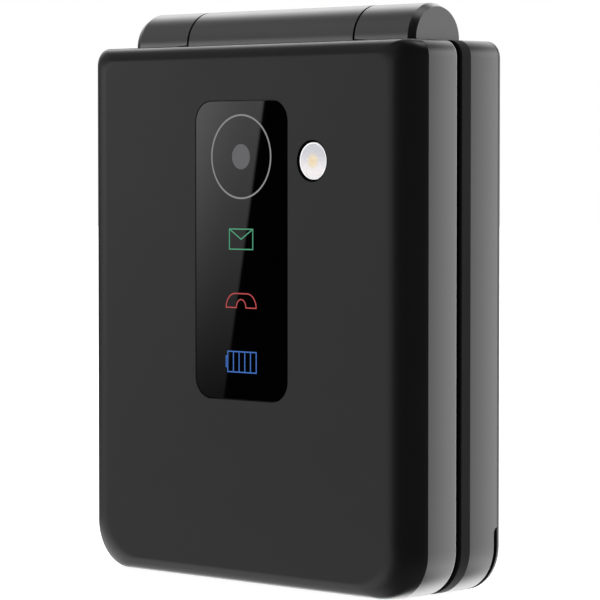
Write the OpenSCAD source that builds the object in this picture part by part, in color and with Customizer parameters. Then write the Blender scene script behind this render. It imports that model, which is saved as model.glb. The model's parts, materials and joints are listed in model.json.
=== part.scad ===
// A short, wide flip phone, closed and standing on its lower edge.
// x runs across the phone, y from the lid's front to the battery cover, z up to the hinge.
// The origin is the middle of the flat lower edge that the phone stands on.

/* [Body] */
// Width of both halves
body_w = 75; // [72:0.5:84]
// Height of both halves, without the hinge barrel
body_h = 88; // [86:0.5:100]
// Thickness of the lid
lid_t = 10.6; // [10.4:0.1:13]
// Thickness of the base with its battery cover
base_t = 9.8; // [9.6:0.1:12]
// Gap between the closed lid and the base
lid_gap = 0.6; // [0.5:0.05:1]
// Radius of the two lower corners
corner_low_r = 7.6; // [6.5:0.1:10]
// Radius of the two upper corners
corner_high_r = 2.7; // [2.3:0.1:5]
// Thickness of the side walls
side_wall = 1.2; // [1:0.1:1.6]
// Rounding of the edges beside the gap and round the back
edge_r = 0.45; // [0.3:0.05:0.7]

/* [Front cover] */
// Depth of the front cover, from its face to the parting line
cover_depth = 3.7; // [3:0.1:4.2]
// Thickness of the front cover's face
cover_wall = 1.5; // [1.3:0.1:1.8]
// Width of the rounded edge at the sides
round_side = 5.5; // [3:0.1:7]
// Width of the rounded edge at the top
round_top = 2.8; // [2:0.1:4]
// Width of the rounded edge at the bottom
round_bottom = 2.4; // [1.8:0.1:5]
// Angle that the rounded edge turns through before it meets the side band
round_angle = 68; // [55:1:80]

/* [Window and lights] */
// Width of the glossy window
window_w = 20.9; // [19:0.1:23]
// Height of the glossy window
window_h = 48.5; // [46:0.1:51]
// Distance from the top of the body down to the window
window_drop = 9.3; // [8.5:0.1:11]
// Corner radius of the window
window_r = 3.4; // [2:0.1:5]
// Thickness of the window
window_t = 0.8; // [0.6:0.05:0.9]
// Width of the ledge that the window is glued to
window_ledge = 1.4; // [1:0.1:2]
// Distance from the window's upper edge down to the camera
camera_drop = 9; // [8.5:0.1:10]
// Radius of the camera's lens barrel
camera_r = 3; // [2.5:0.1:3.4]
// Side of the camera's square body
camera_side = 8.5; // [7.5:0.1:8.8]
// Distance between the window and the torch lens
torch_gap = 2.6; // [2.4:0.1:4]
// Distance from the window's upper edge down to the torch
torch_drop = 9.7; // [9:0.1:11]
// Radius of the torch lens
torch_r = 2.95; // [2.5:0.05:3.1]
// Dark gap round the torch lens
torch_rim = 0.4; // [0.2:0.05:0.6]
// Distance from the camera down to the first indicator
icon_drop = 13.4; // [12.6:0.1:15]
// Distance from the window's lower edge up to the last indicator
icon_rise = 6.1; // [6:0.1:8]

/* [Hinge] */
// Radius of the hinge barrel
barrel_r = 5.7; // [5.5:0.1:6]
// Distance from each side of the body to the end of the barrel
barrel_inset = 5.6; // [5:0.1:7]
// Length of each outer knuckle, from the barrel's end to the seam
outer_w = 12.9; // [11:0.1:14]
// Width of the seam between two knuckles
seam_w = 0.45; // [0.2:0.05:0.6]
// Height of the hinge axis above the body
axis_rise = 0.3; // [0.2:0.05:0.8]
// Distance from the middle of the gap back to the hinge axis
axis_setback = 1.2; // [0:0.1:1.4]
// Length of the taper at the barrel's two ends
taper_w = 1.3; // [0.5:0.1:2]
// Depth of that taper
taper_t = 0.6; // [0.3:0.05:1]
// Gap between the barrel and the troughs in both halves
barrel_clear = 0.35; // [0.3:0.05:0.5]
// Thickness of the trough's wall
trough_wall = 0.9; // [0.7:0.05:1.1]
// Radius of the plain hinge pin
pin_r = 2; // [1.6:0.1:2.3]
// Length of the plain hinge pin
pin_length = 14; // [12:0.5:15]
// Outer radius of the hinge cartridge
can_r = 3.2; // [3:0.1:3.6]
// Length of the hinge cartridge
can_length = 14.2; // [13:0.1:15.2]
// Wall of the hinge cartridge
can_wall = 0.5; // [0.4:0.05:0.6]
// Height of the ridge on the hinge cam
cam_rise = 0.5; // [0.3:0.05:0.6]
// Radius of the hinge spring's wire
spring_wire_r = 0.35; // [0.25:0.05:0.4]
// Number of turns of the hinge spring
spring_turns = 5; // [4:1:6]
// Play round a pin or shaft that turns
running = 0.05; // [0.03:0.01:0.08]

/* [Display] */
// Distance from each side of the body to the glass over the display
glass_side = 7.5; // [7:0.1:9]
// Height of the bottom of that glass
glass_low = 13; // [12:0.5:16]
// Distance from the top of that glass to the top of the body
glass_drop = 9.2; // [9:0.1:12]
// Thickness of that glass
glass_t = 0.8; // [0.6:0.1:0.9]
// Thickness of the display module
module_t = 2.2; // [1.8:0.1:2.3]
// Width of the glass's border over the display module
glass_border = 4.5; // [3.5:0.1:6]
// Thickness of the circuit boards
board_t = 0.8; // [0.6:0.1:0.9]

/* [Keypad] */
// Distance from each side of the body to the number keys
key_side = 6.4; // [6:0.1:8]
// Space between two columns of keys
column_space = 2; // [1.6:0.1:3]
// Space between two rows of keys
row_space = 1.9; // [1.6:0.1:3]
// Height of the number keys' lower edge
key_floor = 8.7; // [8.4:0.1:10]
// Corner radius of a key
key_r = 3; // [1.5:0.1:3.6]
// How far a key stands above the base
key_proud = 0.2; // [0.1:0.05:0.25]
// How far a key goes down
key_travel = 0.3; // [0.2:0.05:0.35]
// Gap round a key
key_gap = 0.2; // [0.15:0.05:0.3]
// Width of the flange that holds a key in
flange_w = 0.5; // [0.4:0.05:0.6]
// Radius of the navigation ring
nav_r = 10.4; // [9.5:0.1:10.8]
// Radius of the middle key
ok_r = 4.4; // [4:0.1:5]
// Distance from the top of the body down to the navigation ring's middle
nav_drop = 24.4; // [23.5:0.1:25]
// Space between the navigation ring and the number keys
nav_space = 4.4; // [3:0.1:6]
// Space between the navigation ring and the four keys beside it
ring_space = 4.7; // [4:0.1:6]
// Distance from each side of the body to those four keys
side_key_side = 5.4; // [5:0.1:7]
// Thickness of the base's face
face_wall = 1; // [0.9:0.05:1.1]
// Depth of the base's front band
band_depth = 2.4; // [2.2:0.1:2.8]

/* [Battery] */
// Distance from each side of the body to the battery
battery_side = 10.5; // [9.5:0.5:13]
// Distance from the top of the body down to the battery
battery_drop = 18; // [17.5:0.5:22]
// Thickness of the battery
battery_t = 3.6; // [3:0.1:3.7]
// Height of the battery's lower edge
battery_low = 27; // [26:0.5:30]
// Thickness of the battery cover
back_t = 0.8; // [0.7:0.05:1]
// Depth of the notch that the battery cover is prised off at
notch_depth = 0.75; // [0.4:0.05:0.9]
// Length of that notch round the corner
notch_length = 15; // [12:0.5:18]

/* [Sockets] */
// Radius of the headset socket's bore
jack_r = 1.8; // [1.75:0.05:1.9]
// Depth of the headset socket's bore
jack_depth = 11; // [10:0.5:12]
// Distance from the right side of the body to the headset socket
jack_side = 21.5; // [18:0.5:22.5]
// Width of the charging socket
usb_w = 8.9; // [8.5:0.1:9.4]
// Thickness of the charging socket
usb_t = 3.2; // [3:0.1:3.4]
// Depth of the charging socket
usb_depth = 7.3; // [6.5:0.1:7.8]
// Distance from the top of the body down to the volume key's middle
volume_drop = 28; // [22:0.5:33]
// Length of the volume key
volume_length = 18; // [14:0.5:20]
// How far the volume key stands out
volume_proud = 0.5; // [0.3:0.1:0.8]

/* [Hidden] */

// Smoothness of true arcs, of hulls and of the coil
$fn = 64;
hull_fn = 40;
round_steps = 7;
coil_sides = 6;
coil_steps = 10;

// Small general clearances: a fit that is glued or snapped, and one that stays free
snug = 0.05;
loose = 0.15;
eps = 0.01;

// Levels through the thickness, from the lid's front to the back
y_front = -(lid_t + lid_gap + base_t) / 2;
y_part = y_front + cover_depth;
y_lid = y_front + lid_t;
y_base = y_lid + lid_gap;
y_band = y_base + band_depth;
y_back = y_base + base_t;
y_rear = y_back - back_t;
y_axis = (y_lid + y_base) / 2 + axis_setback;
z_axis = body_h + axis_rise;

// Layers of the lid
glass_depth = glass_t + 2 * snug;
lid_wall = glass_depth + 0.6;
y_module = y_lid - glass_depth - snug;
frame_t = 0.3;
y_frame = y_module - module_t - frame_t;
y_lid_board = y_frame - 0.3;
window_depth = window_t + 2 * snug;
glass_w = body_w - 2 * glass_side;
glass_high = body_h - glass_drop;
glass_r = 3;
module_inset = glass_border + snug;

// Places on the lid
window_high = body_h - window_drop;
window_low = window_high - window_h;
camera_z = window_high - camera_drop;
torch_x = window_w / 2 + torch_gap + torch_r;
torch_z = window_high - torch_drop;
icons = 3;
icon_high = camera_z - icon_drop;
icon_pitch = (icon_high - window_low - icon_rise) / (icons - 1);
icon_zs = [for (i = [0:icons - 1]) icon_high - i * icon_pitch];
chamber_w = 8;
chamber_h = icon_pitch - 2.4;
guide_w = chamber_w + 3;
guide_low = icon_zs[icons - 1] - chamber_h / 2 - 0.7;
guide_high = icon_zs[0] + chamber_h / 2 + 0.7;
y_guide = y_front + window_depth + loose;
guide_t = 2.4;
y_indicator = y_guide + guide_t;
led_t = 0.7;

// Screws, with their bosses in the corners that the boards leave free
screw_r = 0.8;
screw_head_r = 1.4;
screw_head_t = 0.7;
screw_sink = 0.3;
screw_x = body_w / 2 - side_wall - 2.7;
boss_r = 2.2;
lid_screw_zs = [20, body_h - 15];
base_screw_zs = [20, body_h - 10.2];
lid_screw_length = 4;
base_screw_length = 5;
plug_t = 0.45;
plug_proud = 0.25;
counterbore = screw_head_t + plug_t + snug;

// Layers of the base
y_flange = y_base + face_wall + 0.1;
flange_t = 0.4;
mat_t = 0.4;
y_mat = y_flange + flange_t + key_travel + 0.15;
y_nav_flange = y_flange + 0.2;
nav_flange_t = flange_t - 0.1;
plunger_r = 1.2;
y_plunger = y_mat + mat_t + 0.35;
dome_rise = 0.15;
dome_sheet_t = 0.12;
y_board = y_plunger + key_travel + snug + dome_rise + dome_sheet_t;
y_board_back = y_board + board_t;
board_w = body_w - 2 * side_wall - 10.2;
board_low = side_wall + 0.5;
board_high = body_h - 11.5;
battery_w = body_w - 2 * battery_side;
battery_h = body_h - battery_drop - battery_low;
bay_clear = 0.25;
rear_wall = 1;
y_bay = y_rear - battery_t - 2 * snug;
bay_floor = 0.5;
bay_wall = 0.8;
bay_low = battery_low - bay_clear;
bay_high = battery_low + battery_h + bay_clear;
bay_w = battery_w + 2 * bay_clear;

// Knuckles, and what lies in them
outer_x1 = body_w / 2 - barrel_inset;
outer_x0 = outer_x1 - outer_w + seam_w / 2;
middle_x = outer_x0 - seam_w;
trough_r = barrel_r + barrel_clear;
trough_x = outer_x1 + barrel_clear;
can_x1 = middle_x;
can_x0 = can_x1 - can_length;
shaft_r = can_r - can_wall - 0.75;
cam_r = can_r - can_wall - 0.1;
cam_t = 1.4;
collar_t = 1.4;
cam_x = can_x1 - collar_t - snug - cam_t;
follower_t = 2.4;
follower_x = cam_x - cam_rise - 0.1 - follower_t;
socket_depth = 5.5;
shaft_flat = 0.5;
pin_hold = 7.5;
pin_x0 = outer_x0 + pin_hold;
pin_bore_x = pin_length + 0.2 - pin_hold - middle_x;
flex_wall = 1.2;
flex_r = barrel_r - 1.3;
flex_x0 = pin_bore_x + flex_wall;
flex_x1 = can_x0 - flex_wall;

// Rows and columns of the keypad, read as a telephone is
key_columns = 3;
key_rows = 4;
nav_z = body_h - nav_drop;
key_w = (body_w - 2 * key_side - (key_columns - 1) * column_space) / key_columns;
key_h = (nav_z - nav_r - nav_space - key_floor - (key_rows - 1) * row_space) / key_rows;
key_pitch_x = key_w + column_space;
key_pitch_z = key_h + row_space;
side_key_w = body_w / 2 - side_key_side - nav_r - ring_space;
side_key_x = body_w / 2 - side_key_side - side_key_w / 2;
side_key_rise = (key_h + row_space) / 2 + loose;
side_key_zs = [nav_z - side_key_rise, nav_z + side_key_rise];
nav_press_r = (nav_r + ok_r) / 2 + 0.1;
plunger_xzs = concat(
    [for (i = [0:key_columns * key_rows - 1]) key_place(i)],
    [for (s = [-1, 1], z = side_key_zs) [s * side_key_x, z]],
    [for (s = [-1, 1]) [s * nav_press_r, nav_z]],
    [for (s = [-1, 1]) [0, nav_z + s * nav_press_r]],
    [[0, nav_z]]
);
crown_r = 24;

// Colours, as seen
satin_black = [0.13, 0.13, 0.135];
gloss_black = [0.03, 0.03, 0.035];
board_green = [0.05, 0.3, 0.17];
steel = [0.68, 0.69, 0.7];
gold = [0.83, 0.66, 0.32];
dark_plastic = [0.18, 0.18, 0.19];
rubber_grey = [0.22, 0.22, 0.23];
clear_plastic = [0.93, 0.93, 0.9];

// Middle of number key i, counted from the upper left
function key_place(i) = [
    (i % key_columns - (key_columns - 1) / 2) * key_pitch_x,
    key_floor + key_h / 2 + (key_rows - 1 - floor(i / key_columns)) * key_pitch_z
];

// ---- General forms ----

// Rounded rectangle in x and z, with its own radius at the lower and upper corners
module round_rect(w, z0, z1, low_r, high_r) {
    for (s = [-1, 1]) {
        translate([s * (w / 2 - low_r), z0 + low_r]) circle(low_r);
        translate([s * (w / 2 - high_r), z1 - high_r]) circle(high_r);
    }
    polygon([
        [-w / 2 + low_r, z0], [w / 2 - low_r, z0], [w / 2, z0 + low_r], [w / 2, z1 - high_r],
        [w / 2 - high_r, z1], [-w / 2 + high_r, z1], [-w / 2, z1 - high_r], [-w / 2, z0 + low_r]
    ]);
}

// The outline of both halves, drawn in by inset
module outline(inset = 0) {
    round_rect(
        body_w - 2 * inset, inset, body_h - inset,
        max(corner_low_r - inset, 0.5), max(corner_high_r - inset, 0.5)
    );
}

// Extrudes a shape drawn in x and z from y0 to y1
module slab(y0, y1) {
    translate([0, y1, 0]) rotate([90, 0, 0]) linear_extrude(y1 - y0) children();
}

// A box centred on x, between two levels of y and of z
module block(x, w, y0, y1, z0, z1) {
    translate([x - w / 2, y0, z0]) cube([w, y1 - y0, z1 - z0]);
}

// A round bar along y, at x and z
module post(x, z, r, y0, y1) {
    translate([x, y0, z]) rotate([-90, 0, 0]) cylinder(r = r, h = y1 - y0);
}

// A round bar on the hinge axis, from x0 to x1
module on_axis(x0, x1, r) {
    translate([x0, y_axis, z_axis]) rotate([0, 90, 0]) cylinder(r = r, h = x1 - x0);
}

// A plate's profile, d wide and t thick, with its outer edge rounded at y = 0
module edge_profile(d, t, r) {
    difference() {
        square([d, t]);
        difference() {
            translate([d - r, 0]) square(r);
            translate([d - r, r]) circle(r);
        }
    }
}

// A quarter disc whose rim is rounded at its lower face
module corner_disc(big_r, t, r) {
    rotate_extrude(angle = 90) edge_profile(big_r, t, r);
}

// The body's outline as a plate t thick, with its edge rounded at z = 0
module rounded_plate(t, r) {
    w = body_w;
    h = body_h;
    low = corner_low_r;
    high = corner_high_r;
    linear_extrude(t) polygon([
        [-w / 2 + low, r], [w / 2 - low, r], [w / 2 - low, low], [w / 2 - r, low],
        [w / 2 - r, h - high], [w / 2 - high, h - high], [w / 2 - high, h - r],
        [-w / 2 + high, h - r], [-w / 2 + high, h - high], [-w / 2 + r, h - high],
        [-w / 2 + r, low], [-w / 2 + low, low]
    ]);
    for (s = [0, 1]) mirror([s, 0, 0]) {
        translate([w / 2 - r, h - high, 0]) rotate([90, 0, 0])
            linear_extrude(h - low - high) edge_profile(r, t, r);
        translate([w / 2 - low, low, 0]) rotate([0, 0, -90]) corner_disc(low, t, r);
        translate([w / 2 - high, h - high, 0]) corner_disc(high, t, r);
    }
    translate([-w / 2 + low, r, 0]) mirror([0, 1, 0]) rotate([90, 0, 90])
        linear_extrude(w - 2 * low) edge_profile(r, t, r);
    translate([-w / 2 + high, h - r, 0]) rotate([90, 0, 90])
        linear_extrude(w - 2 * high) edge_profile(r, t, r);
}

// Stands a plate up with its rounded face at y, facing forwards or backwards
module facing_front(y) {
    translate([0, y, 0]) mirror([0, 1, 0]) rotate([90, 0, 0]) children();
}
module facing_back(y) {
    translate([0, y, 0]) rotate([90, 0, 0]) children();
}

// A cross-head screw driven forwards, with the outer face of its head at y
module screw(x, z, y, length) {
    cross = 1.6;
    bit = 0.4;
    translate([x, y, z]) difference() {
        union() {
            post(0, 0, screw_head_r, -screw_head_t, 0);
            post(0, 0, screw_r, -screw_head_t - length, -screw_head_t + eps);
        }
        block(0, cross, -bit, 1, -bit / 2, bit / 2);
        block(0, bit, -bit, 1, -cross / 2, cross / 2);
    }
}

// ---- Lid ----

// One slice of the front cover's rounded form: turn goes from 0 at the face to 1 at the band
module cover_slice(turn, inset) {
    angle = turn * round_angle;
    reach = 1 - sin(angle) / sin(round_angle);
    depth = cover_depth * (1 - cos(angle)) / (1 - cos(round_angle));
    side = round_side * reach + inset;
    y = y_front + depth;
    slab(y - (turn > 0.5 ? eps : 0), y + (turn > 0.5 ? 0 : eps))
        round_rect(
            body_w - 2 * side, round_bottom * reach + inset, body_h - round_top * reach - inset,
            corner_low_r - inset, corner_high_r - inset, $fn = hull_fn
        );
}

module lid_front_cover() {
    color(satin_black) difference() {
        union() {
            difference() {
                hull() for (i = [0:round_steps]) cover_slice(i / round_steps, 0);
                translate([0, cover_wall, 0])
                    hull() for (i = [0:2:round_steps + 1]) cover_slice(min(i / round_steps, 1), side_wall);
            }
            cover_lip();
            for (s = [-1, 1], z = lid_screw_zs)
                post(s * screw_x, z, boss_r, y_front + cover_wall - eps, y_lid - lid_wall - snug);
        }
        slab(y_front - 1, y_front + window_depth)
            round_rect(window_w + 2 * snug, window_low - snug, window_high + snug, window_r, window_r);
        slab(y_front, y_front + cover_wall + 1)
            round_rect(
                window_w - 2 * window_ledge, window_low + window_ledge, window_high - window_ledge,
                window_r - window_ledge, window_r - window_ledge
            );
        post(torch_x, torch_z, torch_r + torch_rim, y_front - 1, y_front + cover_wall + 1);
        for (s = [-1, 1], z = lid_screw_zs)
            post(s * screw_x, z, screw_r, y_front + cover_wall + 0.5, y_lid);
    }
}

// The thin lip that locates the front cover inside the band
module cover_lip() {
    lip = 0.7;
    difference() {
        slab(y_part - 1.2, y_part + 0.8) outline(side_wall + snug);
        slab(y_part - 2, y_part + 2) outline(side_wall + snug + lip);
        block(0, body_w, y_part - 3, y_part + 3, z_axis - trough_r - trough_wall - 1, body_h);
    }
}

// The band, the inner face and the middle knuckle
module lid_inner_cover() {
    color(satin_black) difference() {
        union() {
            difference() {
                facing_back(y_lid) rounded_plate(y_lid - y_part - snug, edge_r);
                slab(y_part - 1, y_lid - lid_wall) outline(side_wall);
            }
            intersection() {
                slab(y_part + snug, y_lid - edge_r) outline();
                on_axis(-trough_x - trough_wall, trough_x + trough_wall, trough_r + trough_wall);
            }
            on_axis(-middle_x, middle_x, barrel_r);
        }
        for (s = [0, 1]) mirror([s, 0, 0]) on_axis(middle_x, trough_x, trough_r);
        hinge_bores();
        slab(y_lid - glass_depth, y_lid + 1)
            round_rect(glass_w + 2 * snug, glass_low - snug, glass_high + snug, glass_r, glass_r);
        block(
            0, glass_w - 2 * glass_border, y_lid - lid_wall - 1, y_lid,
            glass_low + glass_border, glass_high - glass_border
        );
        slab(y_lid - lid_wall - 1, y_lid + 1) earpiece_slot(snug);
        block(magnet_x, magnet_w + 2 * snug, y_lid - lid_wall - 1, y_lid - 0.5, magnet_z0 - snug,
            magnet_z0 + magnet_h + snug);
        for (s = [-1, 1], z = lid_screw_zs) {
            post(s * screw_x, z, screw_head_r + loose, y_lid - counterbore, y_lid + 1);
            post(s * screw_x, z, screw_r + loose, y_lid - lid_wall - 1, y_lid);
        }
    }
}

// What is hollowed out of the middle knuckle: the cartridge, the flex cable and the pin
module hinge_bores() {
    on_axis(can_x0 - snug, middle_x + 1, can_r + snug);
    on_axis(flex_x0, flex_x1, flex_r);
    on_axis(-middle_x - 1, pin_bore_x, pin_r + running);
    block((flex_x0 + flex_x1) / 2, flex_x1 - flex_x0 - 1, y_lid - lid_wall - 1.6, y_lid - lid_wall,
        z_axis - trough_r - trough_wall - 2, z_axis);
}

module window_glass() {
    color(gloss_black) slab(y_front + snug, y_front + snug + window_t)
        round_rect(window_w, window_low, window_high, window_r, window_r);
}

module camera_module() {
    color(dark_plastic) {
        difference() {
            post(0, camera_z, camera_r, y_guide, y_guide + 2);
            post(0, camera_z, camera_r - 0.8, y_guide - 1, y_guide + 0.5);
        }
        block(0, camera_side, y_guide + 1.6, y_lid_board - board_t - snug,
            camera_z - camera_side / 2, camera_z + camera_side / 2);
    }
}

module torch_lens() {
    flange = 0.5;
    dome_r = 9;
    dome_y = y_front + 0.25;
    color(clear_plastic) {
        intersection() {
            post(torch_x, torch_z, torch_r, dome_y, y_front + cover_wall + snug);
            translate([torch_x, dome_y + dome_r, torch_z]) sphere(dome_r);
        }
        post(torch_x, torch_z, torch_r + torch_rim + flange, y_front + cover_wall + snug,
            y_front + cover_wall + snug + 0.5);
    }
}

// A bowl behind the torch lens, with a square foot on the board
module torch_reflector() {
    y0 = y_front + cover_wall + 0.5 + 2 * snug;
    color(steel) difference() {
        post(torch_x, torch_z, torch_r + 0.3, y0, y_indicator);
        translate([torch_x, y_indicator, torch_z]) rotate([90, 0, 0])
            cylinder(r1 = 1.2, r2 = torch_r, h = y_indicator - y0 + eps);
        post(torch_x, torch_z, 1.2, y0, y_indicator + 1);
    }
}

module torch_led() {
    color(gold) block(torch_x, 1.6, y_indicator - led_t, y_indicator, torch_z - 0.8, torch_z + 0.8);
}

// Three chambers that keep each indicator's light to itself
module light_guide() {
    color(clear_plastic) difference() {
        block(0, guide_w, y_guide, y_indicator, guide_low, guide_high);
        for (z = icon_zs)
            block(0, chamber_w, y_guide + 0.5, y_indicator + 1, z - chamber_h / 2, z + chamber_h / 2);
    }
}

// The small board behind the indicators and the torch
module indicator_board() {
    strip_w = guide_w + 1;
    arm_x = camera_side / 2 + 0.6;
    arm_w = torch_x + torch_r + 1 - arm_x;
    color(board_green) {
        block(0, strip_w, y_indicator, y_indicator + board_t, guide_low - 1, guide_high);
        block(arm_x + arm_w / 2, arm_w, y_indicator, y_indicator + board_t,
            guide_high - 4, torch_z + torch_r + 1);
    }
    color(gold) for (z = icon_zs)
        block(0, 1.6, y_indicator - led_t, y_indicator + eps, z - 0.8, z + 0.8);
}

// The lid's board, with two chips and the connector to the small board
module lid_board() {
    low = glass_low + 2;
    y_chip = y_lid_board - board_t;
    chip_t = 0.9;
    driver_w = 14;
    driver_h = 4;
    driver_high = camera_z - 8;
    chip_side = 8;
    chip_x = 16;
    chip_low = low + 14;
    color(board_green) block(0, glass_w - 8, y_chip, y_lid_board, low, camera_z + 6);
    color(dark_plastic) {
        block(0, driver_w, y_chip - chip_t, y_chip + eps, driver_high - driver_h, driver_high);
        block(-chip_x, chip_side, y_chip - chip_t, y_chip + eps, chip_low, chip_low + chip_side);
        block(0, guide_w - 2, y_indicator + board_t, y_chip + eps, guide_low, guide_low + 4);
    }
}

module display_module() {
    color(gloss_black) block(
        0, glass_w - 2 * module_inset, y_module - module_t, y_module,
        glass_low + module_inset, glass_high - module_inset
    );
}

// The pressed tray behind the display
module display_frame() {
    w = glass_w - 2 * module_inset + 2 * snug;
    low = glass_low + module_inset - snug;
    high = glass_high - module_inset + snug;
    color(steel) difference() {
        block(0, w + 2 * frame_t, y_frame, y_lid - lid_wall - snug, low - frame_t, high + frame_t);
        block(0, w, y_frame + frame_t, y_lid, low, high);
        for (s = [-1, 1])
            block(s * w / 4, w / 3, y_frame - 1, y_lid, low + 12, high - 12);
    }
}

module display_glass() {
    color(gloss_black) slab(y_lid - glass_t - snug, y_lid - snug)
        round_rect(glass_w, glass_low, glass_high, glass_r, glass_r);
}

// The earpiece sits at the end of the lid that is uppermost when the phone is open
earpiece_z = 7.2;
earpiece_t = 2.75;
slot_w = 12;
slot_h = 1.6;
magnet_side = 12.5;
magnet_x = body_w / 2 - magnet_side;
magnet_w = 5;
magnet_h = 3;
magnet_z0 = 5.5;

module earpiece_slot(grow) {
    h = slot_h + 2 * grow;
    square_w = slot_w - slot_h;
    translate([-square_w / 2, earpiece_z - h / 2]) square([square_w, h]);
    for (s = [-1, 1]) translate([s * square_w / 2, earpiece_z]) circle(h / 2);
}

module earpiece() {
    w = 15;
    h = 7;
    color(steel) slab(y_lid - lid_wall - snug - earpiece_t, y_lid - lid_wall - snug)
        round_rect(w, earpiece_z - h / 2, earpiece_z + h / 2, h / 2 - eps, h / 2 - eps);
}

// The perforated insert in the earpiece slot
module earpiece_grille() {
    holes = 9;
    pitch = 1.15;
    color(dark_plastic) difference() {
        slab(y_lid - lid_wall, y_lid - 0.2) earpiece_slot(0);
        for (i = [0:holes - 1])
            post((i - (holes - 1) / 2) * pitch, earpiece_z, 0.35, y_lid - lid_wall - 1, y_lid + 1);
    }
}

module lid_magnet() {
    color(steel) block(magnet_x, magnet_w, y_lid - lid_wall - 0.2, y_lid - 0.5 - snug,
        magnet_z0, magnet_z0 + magnet_h);
}

module lid_screws() {
    color(steel) for (s = [-1, 1], z = lid_screw_zs)
        screw(s * screw_x, z, y_lid - counterbore + screw_head_t, lid_screw_length);
}

// Rubber plugs over the lid's screws, which also keep the two halves apart
module lid_bumpers() {
    color(rubber_grey) for (s = [-1, 1], z = lid_screw_zs)
        post(s * screw_x, z, screw_head_r + loose - snug, y_lid - plug_t, y_lid + plug_proud);
}

// ---- Hinge ----

// The steel can in the middle knuckle, closed at its inner end
module hinge_cartridge() {
    color(steel) difference() {
        on_axis(can_x0, can_x1, can_r);
        on_axis(can_x0 + can_wall, can_x1 - collar_t, can_r - can_wall);
        on_axis(can_x0 + can_wall, can_x1 + 1, shaft_r + running);
    }
}

// The spring that presses the follower against the cam
module hinge_spring() {
    coil_r = can_r - can_wall - spring_wire_r - 0.2;
    x0 = can_x0 + can_wall + spring_wire_r + snug;
    x1 = follower_x - spring_wire_r - snug;
    count = spring_turns * coil_steps;
    points = [for (i = [0:count], j = [0:coil_sides - 1])
        let (a = i * 360 / coil_steps, b = j * 360 / coil_sides, r = coil_r + spring_wire_r * cos(b))
            [x0 + (x1 - x0) * i / count + spring_wire_r * sin(b),
                y_axis + r * cos(a), z_axis + r * sin(a)]];
    sides = [for (i = [0:count - 1], j = [0:coil_sides - 1], half = [0, 1])
        let (k = (j + 1) % coil_sides, p = i * coil_sides, q = p + coil_sides)
            half == 0 ? [p + j, p + k, q + k] : [p + j, q + k, q + j]];
    caps = [for (j = [1:coil_sides - 2]) [0, j + 1, j]];
    last = count * coil_sides;
    ends = [for (j = [1:coil_sides - 2]) [last, last + j, last + j + 1]];
    color(steel) polyhedron(points, concat(sides, caps, ends));
}

// The sliding half of the cam, with a groove across its face
module hinge_cam_follower() {
    color(steel) difference() {
        on_axis(follower_x, follower_x + follower_t, cam_r);
        translate([follower_x + follower_t, y_axis, z_axis - cam_r - 1])
            cylinder(r = cam_rise + 0.1, h = 2 * cam_r + 2);
        on_axis(follower_x - 1, follower_x + follower_t + 1, 0.8);
    }
}

// The turning half of the cam: a ridge, a round neck and a flatted end in the right knuckle
module hinge_cam_head() {
    tip_x = outer_x0 + socket_depth - 0.3;
    color(steel) {
        on_axis(cam_x, cam_x + cam_t, cam_r);
        intersection() {
            on_axis(cam_x - cam_rise - 1, cam_x + eps, cam_r);
            translate([cam_x, y_axis, z_axis - cam_r]) cylinder(r = cam_rise, h = 2 * cam_r);
        }
        on_axis(cam_x + cam_t - eps, outer_x0, shaft_r);
        intersection() {
            on_axis(outer_x0 - eps, tip_x, shaft_r);
            flatted_block(outer_x0 - 1, tip_x + 1, shaft_r - shaft_flat);
        }
    }
}

module flatted_block(x0, x1, half) {
    translate([x0, y_axis - half, z_axis - can_r]) cube([x1 - x0, 2 * half, 2 * can_r]);
}

module hinge_pin() {
    color(steel) difference() {
        on_axis(-pin_x0, -pin_x0 + pin_length, pin_r);
        on_axis(-pin_x0 - 1, -pin_x0 + pin_length + 1, pin_r - 0.6);
    }
}

// The flex cable, rolled once and a half round the axis inside the middle knuckle
module hinge_flex() {
    turns = 1.5;
    steps = 40;
    film = 0.25;
    roll_depth = 1.7;
    inner = flex_r - roll_depth;
    pitch = 0.8;
    side = function (offset) [for (i = [0:steps])
        let (a = -90 - i / steps * turns * 360, r = inner + pitch * turns * i / steps + offset)
            [r * cos(a), r * sin(a)]];
    rim = side(film);
    bore = side(0);
    color(gold) translate([flex_x0 + 1, y_axis, z_axis]) rotate([90, 0, 90])
        linear_extrude(flex_x1 - flex_x0 - 2)
            polygon(concat(rim, [for (i = [0:steps]) bore[steps - i]]));
}

// ---- Base ----

// One outer knuckle, with a tapered outer end
module outer_knuckle() {
    taper_x = outer_x1 - taper_w;
    on_axis(outer_x0, taper_x, barrel_r);
    translate([taper_x, y_axis, z_axis]) rotate([0, 90, 0])
        cylinder(r1 = barrel_r, r2 = barrel_r - taper_t, h = taper_w);
}

// Openings for the keys
module key_openings(gap) {
    for (i = [0:key_columns * key_rows - 1]) translate(key_place(i)) key_shape(key_w, key_h, gap);
    for (s = [-1, 1], z = side_key_zs) translate([s * side_key_x, z]) key_shape(side_key_w, key_h, gap);
    translate([0, nav_z]) circle(nav_r + gap);
}

// A key's outline round its own middle, grown by gap
module key_shape(w, h, gap) {
    round_rect(w + 2 * gap, -h / 2 - gap, h / 2 + gap, key_r + gap, key_r + gap);
}

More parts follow.
